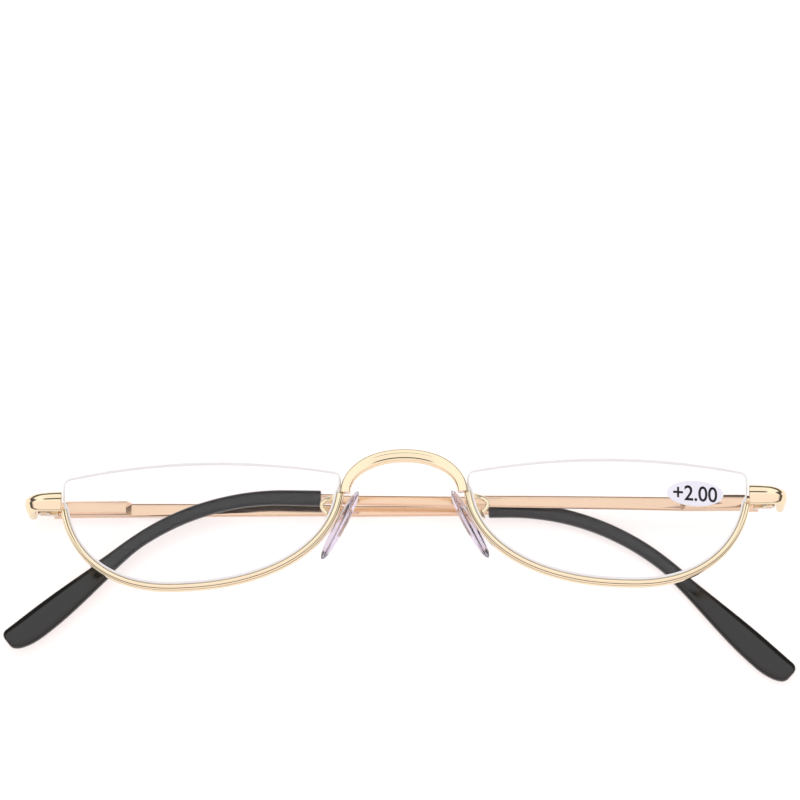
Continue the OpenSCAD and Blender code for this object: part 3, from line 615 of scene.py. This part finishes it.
def bridgeRings():
    # The middle line is a superellipse over the nose. The section swells, and its flute deepens, towards the
    # middle; each of its points is a share of the half height, of the half depth and of the flute.
    half = edgeX - glasses["grooveGap"] - bridgeShape["footWidth"] / 2

    def line(a):
        c, s = np.cos(np.radians(a)), np.sin(np.radians(a))
        x = -half * np.sign(c) * powerOf(np.abs(c), 2 / bridgeShape["square"])
        rise = glasses["bridgeRise"] * powerOf(s, 2 / bridgeShape["square"])
        return np.stack([x, glasses["bridgeFoot"] + glasses["seatGap"] + rise], axis=-1)

    angles = evenSteps(line, 0, 180, bridgeShape["rings"])
    path = line(angles)
    up = outwardOf(path, closed=False)
    mid = 1 - (path[:, 0] / half) ** 2
    swell = np.minimum(1, mid * bridgeShape["swell"])
    h = bridgeShape["footWidth"] / 2 + (glasses["bridgeHeight"] - bridgeShape["footWidth"]) / 2 * swell
    d = rimShape["depth"] / 2 + (bridgeShape["depth"] - rimShape["depth"]) / 2 * mid
    g = bridgeShape["flute"] * np.clip(mid * bridgeShape["fluteRise"] - bridgeShape["fluteStart"], 0, 1)
    across = np.array([-1, -0.95, -0.86, -0.66, -0.34, 0.14, 0.34, 0.7, 0.88, 0.97, 1, 0.86, 0.5, -0.5,
                       -0.88])
    deep = np.array([0, 0.45, 0.8, 1, 1, 1, 1, 1, 0.82, 0.4, -0.1, -0.7, -1, -1, -0.65])
    fluted = np.array([0, 0, 0, 0, 1, 0, 0.55, 0, 0, 0, 0, 0, 0, 0, 0])
    z = footZ + bridgeShape["forward"] * mid[:, None] + (deep[None] - fluted[None] * g[:, None]) * d[:, None]
    flat = path[:, None, :] + up[:, None, :] * (across[None] * h[:, None])[..., None]
    rings = roundedLoop(np.concatenate([flat, z[..., None]], axis=-1), bridgeShape["corner"], 4)
    return softEnds(rings, bridgeShape["endSoft"])


skinPiece("bridge_wire", bridgeRings(), onSide(False), "front", ["bridge"], frontGold,
          sharpAngle=40)

endShape = {"thick": 1.9, "height": rimShape["endpieceHeight"], "legHeight": 2.9, "drop": 0.28, "settle": 1.3,
            "bend": 1.4, "fromLens": 0.1, "crease": 0.13, "creaseStop": 0.9, "creaseFade": 1.1,
            "corner": 0.22, "endSoft": 0.16, "rings": (16, 30, 8)}


def endRings():
    # A bar along X, a quarter circle round the corner, then straight back. Its front has two slightly
    # tilted faces with a pressed line between them, which runs out where the bend begins.
    startX = lensShape["middle"] + lensShape["out"] + endShape["fromLens"]
    bendX = glasses["frameWidth"] / 2 - endShape["thick"] - endShape["bend"]
    bendZ = -endShape["thick"] / 2 - endShape["bend"]
    legEnd = -glasses["pinBack"] - armShape["buttBack"] + glasses["seatGap"] * 2
    radius = endShape["bend"] + endShape["thick"] / 2
    barCount, turnCount, legCount = endShape["rings"]
    bar = np.linspace(startX, bendX, barCount)[:-1]
    turn = np.radians(np.linspace(90, 0, turnCount))
    leg = np.linspace(bendZ, legEnd, legCount)[1:]
    x = np.concatenate([bar, bendX + radius * np.cos(turn), np.full(len(leg), bendX + radius)])
    z = np.concatenate([np.zeros(len(bar)), bendZ + radius * np.sin(turn), leg])
    nx = np.concatenate([np.zeros(len(bar)), np.cos(turn), np.ones(len(leg))])
    nz = np.concatenate([np.ones(len(bar)), np.sin(turn), np.zeros(len(leg))])
    settled = easeIn(np.linspace(0, 1, len(x)) * endShape["settle"])
    half = (endShape["height"] + (endShape["legHeight"] - endShape["height"]) * settled) / 2
    groove = endShape["crease"] * (1 - easeIn((x - bendX + endShape["creaseStop"]) / endShape["creaseFade"]))
    deep = np.array([-0.6, 0.30, 0.80, 0.97, 0.94, 1.0, 1.0, 0.62, 0.20, -0.6, -1.0, -1.0])
    high = np.array([1.0, 1.0, 0.80, 0.50, 0.30, 0.06, -0.04, -0.72, -1.0, -1.0, -0.6, 0.6])
    cut = np.array([0, 0, 0, 0, 1, 0, 0, 0, 0, 0, 0, 0])
    section = np.stack([endShape["thick"] / 2 * deep[None] - groove[:, None] * cut[None],
                        half[:, None] * high[None]], axis=-1)
    section = roundedLoop(section, endShape["corner"], 5)
    points = np.empty(section.shape[:2] + (3,))
    points[..., 0] = x[:, None] + nx[:, None] * section[..., 0]
    points[..., 1] = section[..., 1] - endShape["drop"] * settled[:, None]
    points[..., 2] = z[:, None] + nz[:, None] * section[..., 0]
    return softEnds(points, endShape["endSoft"])


for side in ("left", "right"):
    skinPiece("end_bar_" + side, endRings(), onSide(side == "left"), "front",
              ["endpiece_" + side], frontGold, sharpAngle=40)
    polishedCopy("front_hinge_" + side, "front", hingeGold)
print("front wires ready")


armOuter = -glasses["pinInset"]
tipZ = armOuter + tipShape["thick"] / 2


def armRings(s, bend, z, section):  # section rows: height across the arm, then depth, for each s
    px, py, heading = armRoute(s, bend)
    q = np.broadcast_to(section, (len(s),) + section.shape[-2:])
    return np.stack([
        px[:, None] - q[..., 0] * np.sin(heading)[:, None],
        py[:, None] + q[..., 0] * np.cos(heading)[:, None],
        np.broadcast_to(z, s.shape)[:, None] - q[..., 1]], axis=-1)


def bladeRings(bend):
    # A bar with round edges that gets lower, and rises from the outer face to the middle of the tip
    end = armShape["length"] + armShape["inTip"]
    boxCount, barCount = armShape["rings"]
    s = np.concatenate([np.linspace(armShape["buttBack"], boxEnd, boxCount),
                        np.linspace(boxEnd + armShape["afterBox"], end, barCount)])
    t = np.clip((s - boxEnd) / (armShape["length"] - boxEnd), 0, 1)
    high = (armShape["height"] + (armShape["heightEnd"] - armShape["height"]) * t) / 2
    thick = armShape["thick"] / 2
    corners = np.array([[1, 1], [1, -1], [-1, -1], [-1, 1]])
    box = np.stack([corners[None, :, 0] * high[:, None],
                    np.broadcast_to(corners[:, 1] * thick, (len(s), 4))], axis=-1)
    z = armOuter + thick + (tipZ - armOuter - thick) * t
    return softEnds(armRings(s, bend, z, roundedLoop(box, armShape["corner"], 8)), armShape["endSoft"])


def closing(left, over, least):  # a quarter ellipse from 1 down to least at the very end
    return least + (1 - least) * np.sqrt(1 - (1 - np.clip(left / over, 0, 1)) ** 2)


def tipRings(bend):
    # Crowned faces with sloped edges along the lower side, widening to a paddle whose end is cut off at a
    # slant. The section's half goes down the outer face; the inner face mirrors it.
    full = armShape["full"]
    last = tipShape["endBelow"][0]
    longCount, lastCount = tipShape["rings"]
    s = np.concatenate([np.linspace(armShape["length"], full - last, longCount),
                        full - last * (1 - np.sin(np.radians(np.linspace(3, 90, lastCount))))])
    t = easeIn((s - full + tipShape["paddleStart"]) / tipShape["paddleOver"])
    narrowed = tipShape["waist"] * easeIn((s - armShape["length"]) / tipShape["waistOver"])
    w = tipShape["width"] / 2 * (1 - narrowed)
    left = full - s
    above = (w + (tipShape["paddle"] * tipShape["above"] - w) * t) * closing(left, *tipShape["endAbove"])
    below = (w + (tipShape["paddle"] * tipShape["below"] - w) * t) * closing(left, *tipShape["endBelow"])
    half = tipShape["thick"] / 2 * closing(left, *tipShape["endThick"])
    slope = tipShape["slope"] * np.minimum(1, below / w)
    ridge = slope - below
    across = [above, above * 0.78 + ridge * 0.22, (above + ridge) / 2, ridge, ridge - slope * 0.6, -below]
    deep = [0.5, 0.86, 1.0, 0.94, 0.68, 0.3]
    outer = [half * share for share in deep]
    section = np.stack([np.stack(across + across[::-1], axis=-1),
                        np.stack(outer + [-d for d in outer[::-1]], axis=-1)], axis=-1)
    rings = armRings(s, bend, tipZ, roundedLoop(section, tipShape["corner"], 5))
    return softEnds(rings, tipShape["endSoft"])


for side in ("left", "right"):
    left = side == "left"
    bend = lowerBend if left else upperBend
    temple = "temple_" + side
    skinPiece("arm_bar_" + side, bladeRings(bend), atArm(left), temple, ["arm_" + side], armGold,
              sharpAngle=40)
    skinPiece("ear_tip_" + side, tipRings(bend), atArm(left), temple, ["tip_" + side], tipPlastic,
              sharpAngle=50)
    polishedCopy("spring_box_" + side, temple, armGold, edge=0.06, upperEdge=0.5)
    polishedCopy("hinge_slide_" + side, "slide_" + side, springSteel)
    polishedCopy("hinge_screw_" + side, "slide_" + side, hingeGold, edge=0.04)
    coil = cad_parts["hinge_spring_" + side].data  # the coil stays as built, with its own finish
    coil.materials.clear()
    coil.materials.append(springSteel)
print("arms ready")


def padRings():
    # Ovals that open and close as a sine to the power of the fullness, wider at the lower end
    t = np.radians(np.linspace(5, 175, padShape["rings"]))
    r = np.sin(t) ** padShape["fullness"]
    depth = -np.cos(t)
    a = roundAngles(padShape["points"])
    wider = 1 - padShape["uneven"] * np.sin(a)
    y = padShape["length"] / 2 * np.sin(a)[None] * r[:, None] - padShape["sag"]
    z = padShape["width"] / 2 * np.cos(a)[None] * r[:, None] * wider[None]
    x = padShape["lift"] + padShape["thick"] / 2 * (1 + depth)
    return np.stack([np.broadcast_to(x[:, None], y.shape), y, z], axis=-1)


def bowRings():
    # A bent wire: a cubic curve from the rim's back round to the pad box, with a round section
    splay, slope = math.radians(padShape["splay"]), math.radians(padShape["slope"])
    face = -np.array([math.cos(splay) * math.cos(slope), math.cos(splay) * math.sin(slope), math.sin(splay)])
    centre = np.array([padShape["out"], -padShape["down"], -padShape["back"]])
    boxBack = centre - (padShape["seat"] + wireShape["boxDepth"]) * face
    foot = np.array([edgeX - rimMiddle + wireShape["rimHold"], wireShape["footUp"],
                     footZ - rimShape["depth"] / 2 + wireShape["backHold"]])
    control = [foot, foot + wireShape["leaveRim"],
               boxBack - wireShape["straight"] * face + wireShape["reachBox"], boxBack]
    t = np.linspace(0, 1, wireShape["rings"])[:, None]
    u = 1 - t
    path = u ** 3 * control[0] + 3 * u * u * t * control[1] + 3 * u * t * t * control[2] + t ** 3 * control[3]
    along = unitRows(np.gradient(path, axis=0))
    side = unitRows(np.cross(along, [0.2, 1, 0.1]))
    up = np.cross(side, along)
    a = roundAngles(wireShape["points"])
    wire = wireShape["radius"] * (1 + wireShape["footSwell"] * np.exp(-(t / wireShape["footReach"]) ** 2))
    ring = np.cos(a)[None, :, None] * side[:, None] + np.sin(a)[None, :, None] * up[:, None]
    return softEnds(path[:, None] + wire[:, :, None] * ring, wireShape["endSoft"])


for side in ("left", "right"):
    left = side == "left"
    skinPiece("soft_pad_" + side, padRings(), atPad(left), "pad_" + side, ["nose_pad_" + side],
              padSilicone, sharpAngle=60)
    skinPiece("pad_wire_" + side, bowRings(), onSide(left), "front", ["pad_arm_" + side],
              frontGold, sharpAngle=50)
    polishedCopy("pad_box_" + side, "front", frontGold, edge=0.12)
    polishedCopy("pad_insert_" + side, "pad_" + side, springSteel)
polishedCopy("pad_screws", "front", hingeGold, edge=0.03)
print("nose pads ready")

stickerShape = {"width": 10.3, "height": 4.8, "x": 15.9, "y": -0.6, "lift": 0.02, "thick": 0.1,
                "number": "+2.00", "letterHeight": 2.9, "letterWidth": 8.0, "bold": 0.012, "tilt": -1.5,
                "inkLift": 0.004, "inkThick": 0.012, "softInk": 180, "points": 90}


def onLensFront(p, lift):  # a point of the lens front at p, raised by lift
    height = cap(lensShape["frontRadius"], lensShape["thick"] / 2, p) + lift
    return np.concatenate([p, height[..., None]], axis=-1)


def stickerRings():
    # Ovals that grow along the lens front, turn up at the edge and shrink again on top
    a = roundAngles(stickerShape["points"])
    oval = np.stack([stickerShape["width"] / 2 * np.cos(a), stickerShape["height"] / 2 * np.sin(a)], axis=-1)
    middle = np.array([stickerShape["x"], stickerShape["y"]])
    top = stickerShape["lift"] + stickerShape["thick"]
    rows = [(0.02, stickerShape["lift"]), (0.5, stickerShape["lift"]), (1.0, stickerShape["lift"]),
            (1.0, top - 0.04), (0.99, top - 0.01), (0.97, top), (0.7, top), (0.35, top), (0.02, top)]
    return np.stack([onLensFront(middle + oval * share, lift) for share, lift in rows])


skinPiece("strength_sticker", stickerRings(), atLens(False), "front", ["power_sticker"],
          stickerFilm)


def numberMesh():
    # The number's flat outline, scaled to its place and laid on the curved lens front twice, below and on
    # top, with a four-sided face up each edge of the outline between the two. It is shaded smooth all over.
    curve = bpy.data.curves.new("numberCurve", "FONT")
    curve.body, curve.size, curve.align_x, curve.align_y = stickerShape["number"], 1.0, "CENTER", "CENTER"
    curve.extrude, curve.offset = 0.0, stickerShape["bold"]
    holder = bpy.data.objects.new("numberHolder", curve)
    bpy.context.scene.collection.objects.link(holder)
    bpy.context.view_layer.update()
    flat = bpy.data.meshes.new_from_object(holder.evaluated_get(bpy.context.evaluated_depsgraph_get()))
    bpy.data.objects.remove(holder)
    work = bmesh.new()
    work.from_mesh(flat)
    bmesh.ops.remove_doubles(work, verts=work.verts, dist=1e-5)
    work.verts.index_update()
    co = np.array([v.co[:2] for v in work.verts])
    below = [[v.index for v in face.verts][::-1] for face in work.faces]
    edge = np.array([[loop.vert.index, loop.link_loop_next.vert.index]
                     for loop in (e.link_loops[0] for e in work.edges if e.is_boundary)])
    work.free()
    count = len(co)
    above = [[index + count for index in face[::-1]] for face in below]
    sides = np.concatenate([edge, edge[:, ::-1] + count], axis=1).tolist()
    low, high = co.min(axis=0), co.max(axis=0)
    size = np.array([stickerShape["letterWidth"], stickerShape["letterHeight"]])
    p = (co - (low + high) / 2) / (high - low) * size
    p = p @ turned("z", stickerShape["tilt"])[:2, :2].T + [stickerShape["x"], stickerShape["y"]]
    lift = stickerShape["lift"] + stickerShape["thick"] + stickerShape["inkLift"]
    points = np.concatenate([onLensFront(p, lift), onLensFront(p, lift + stickerShape["inkThick"])])
    return meshFrom("strengthNumber", atLens(False)(points), below + above + sides, stickerShape["softInk"])


finishPiece("strength_number", numberMesh(), "front", [], numberInk)
print("sticker ready")

studio = {
    "floorSize": 6.0, "floorGap": 0.00002, "floorGrey": 0.56, "floorLift": (0.69, 0.62, 0.605),
    "floorMirrored": 0.75, "shadowSpread": (0.085, 0.034, 1), "shadowFade": (1.3, 1.0),
    "skyEven": 0.82, "skyBright": 1.14, "skyDark": 0.10, "skyTilt": 16.0, "darkBelow": 0.30,
    "brightAbove": 0.56, "skySeen": 1.1, "seenBelow": (0.4, 0.2), "skyUnder": 0.85, "underFade": (0.0, -0.1),
    "blush": (0.95, 0.85, 0.87, 1), "blushFade": (0.12, -0.35),
}
# Where each lamp stands and how wide it is, in metres, with its power in watts
lamps = {
    "keyLamp": {"place": (-0.15, 0.45, 0.75), "size": (0.5, 0.35), "power": 1.3, "colour": (1, 0.98, 0.95)},
    "fillLamp": {"place": (0.5, -0.5, 0.6), "size": (0.5, 0.5), "power": 0.6, "colour": (0.96, 0.98, 1)},
}


def makeFloor():
    # White, with the soft shadow kept round the resting place. The camera and a look through a lens pass it,
    # so that an arm swung open below it still shows.
    mesh = bpy.data.meshes.new("floor")
    h = studio["floorSize"] / 2
    mesh.from_pydata([(-h, -h, 0), (h, -h, 0), (h, h, 0), (-h, h, 0)], [], [(0, 1, 2, 3)])
    floor = bpy.data.objects.new("floor", mesh)
    bpy.context.scene.collection.objects.link(floor)
    floor.location.z = -studio["floorGap"]
    material = bpy.data.materials.new("paleFloor")
    material.use_nodes = True
    tree = material.node_tree
    tree.nodes.remove(tree.nodes["Principled BSDF"])
    matte = addNode(tree, "ShaderNodeBsdfDiffuse", (studio["floorGrey"],) * 3 + (1,))
    path = addNode(tree, "ShaderNodeLightPath").outputs
    mirrored = addNode(tree, "ShaderNodeMath", path["Is Glossy Ray"], studio["floorMirrored"],
                       operation="MULTIPLY")
    glow = addNode(tree, "ShaderNodeEmission", studio["floorLift"] + (1,), mirrored)
    inMetal = addNode(tree, "ShaderNodeAddShader", matte, glow)
    lift = tuple(v / studio["skySeen"] for v in studio["floorLift"])
    sheer = addNode(tree, "ShaderNodeBsdfTransparent", lift + (1,))
    shaded = addNode(tree, "ShaderNodeAddShader", matte, sheer)
    place = addNode(tree, "ShaderNodeTexCoord").outputs["Object"]
    spread = addNode(tree, "ShaderNodeVectorMath", place, studio["shadowSpread"], operation="DIVIDE")
    away = addNode(tree, "ShaderNodeVectorMath", spread, operation="LENGTH").outputs["Value"]
    near = addNode(tree, "ShaderNodeMapRange", away, *studio["shadowFade"], interpolation_type="SMOOTHSTEP")
    resting = addNode(tree, "ShaderNodeMixShader", near, addNode(tree, "ShaderNodeBsdfTransparent"), shaded)
    seen = addNode(tree, "ShaderNodeMath", path["Is Camera Ray"], path["Is Transmission Ray"],
                   operation="MAXIMUM")
    either = addNode(tree, "ShaderNodeMixShader", seen, inMetal, resting)
    feed(tree, tree.nodes["Material Output"].inputs["Surface"], either)
    floor.data.materials.append(material)


def makeSky():
    # Metal mirrors a tent that is bright overhead, dark towards the back and slightly pink in front; dull
    # faces get an even light. The camera sees plain white, and so does a level look through a lens. Light
    # from under the floor only meets an arm that is swung open below it.
    world = bpy.data.worlds.new("studioSky")
    bpy.context.scene.world = world
    world.use_nodes = True
    tree = world.node_tree
    back = tree.nodes["Background"]
    place = addNode(tree, "ShaderNodeTexCoord").outputs["Generated"]
    path = addNode(tree, "ShaderNodeLightPath").outputs
    apart = addNode(tree, "ShaderNodeSeparateXYZ", place).outputs
    tilt = math.radians(studio["skyTilt"])
    height = addNode(tree, "ShaderNodeVectorMath", place, (0, -math.sin(tilt), math.cos(tilt)),
                     operation="DOT_PRODUCT").outputs["Value"]
    rise = addNode(tree, "ShaderNodeMapRange", height, studio["darkBelow"], studio["brightAbove"],
                   studio["skyDark"], studio["skyBright"], interpolation_type="SMOOTHSTEP")
    under = addNode(tree, "ShaderNodeMapRange", apart[2], *studio["underFade"], 0.0, studio["skyUnder"])
    tent = addNode(tree, "ShaderNodeMath", rise, under, operation="MAXIMUM")
    mirrored = mixNumbers(tree, path["Is Glossy Ray"], studio["skyEven"], tent)
    level = addNode(tree, "ShaderNodeMapRange", apart[2], *studio["seenBelow"],
                    interpolation_type="SMOOTHSTEP")
    through = addNode(tree, "ShaderNodeMath", path["Is Transmission Ray"], level, operation="MULTIPLY")
    clear = addNode(tree, "ShaderNodeMath", path["Is Camera Ray"], through, operation="MAXIMUM")
    feed(tree, back.inputs["Strength"], mixNumbers(tree, clear, mirrored, studio["skySeen"]))
    front = addNode(tree, "ShaderNodeMapRange", apart[1], *studio["blushFade"],
                    interpolation_type="SMOOTHSTEP")
    pink = addNode(tree, "ShaderNodeMath", front, onlyMirrored(tree, path), operation="MULTIPLY")
    feed(tree, back.inputs["Color"], mixColours(tree, pink, (1, 1, 1, 1), studio["blush"]))


def addLamp(name, place, size, power, colour):  # a flat lamp that faces the middle
    lamp = bpy.data.lights.new(name, "AREA")
    lamp.shape, lamp.size, lamp.size_y = "RECTANGLE", size[0], size[1]
    lamp.energy, lamp.color = power, colour
    holder = bpy.data.objects.new(name, lamp)
    holder.visible_glossy = holder.visible_transmission = False
    bpy.context.scene.collection.objects.link(holder)
    holder.location = place
    flat = math.hypot(place[0], place[1])
    holder.rotation_euler = (math.atan2(flat, place[2]), 0, math.atan2(place[0], -place[1]))


view = {"elevation": 72.0, "pixelsPerMm": 5.54, "pixels": 800, "lens": 174.0, "sensor": 36.0,
        "originPixel": (404.4, 497.8)}


def makeCamera():
    # The hinge line's middle lands on its pixel of a square picture, at the stated scale
    e = math.radians(view["elevation"])
    up = np.array([0, math.sin(e), math.cos(e)])
    back = np.array([0, -math.cos(e), math.sin(e)])
    origin = np.array([middleX, middleY, frontUp])
    dx = (view["pixels"] / 2 - view["originPixel"][0]) / view["pixelsPerMm"]
    dy = (view["originPixel"][1] - view["pixels"] / 2) / view["pixelsPerMm"]
    aim = origin + np.array([dx, 0, 0]) + up * dy
    distance = view["pixels"] / view["pixelsPerMm"] * view["lens"] / view["sensor"]
    cameraData = bpy.data.cameras.new("camera")
    cameraData.lens = view["lens"]
    cameraData.clip_start = 0.01
    camera = bpy.data.objects.new("camera", cameraData)
    bpy.context.scene.collection.objects.link(camera)
    camera.location = (aim + back * distance) * mm
    camera.rotation_euler = (math.radians(90 - view["elevation"]), 0, 0)
    bpy.context.scene.camera = camera


makeFloor()
makeSky()
for name, lamp in lamps.items():
    addLamp(name, **lamp)
makeCamera()
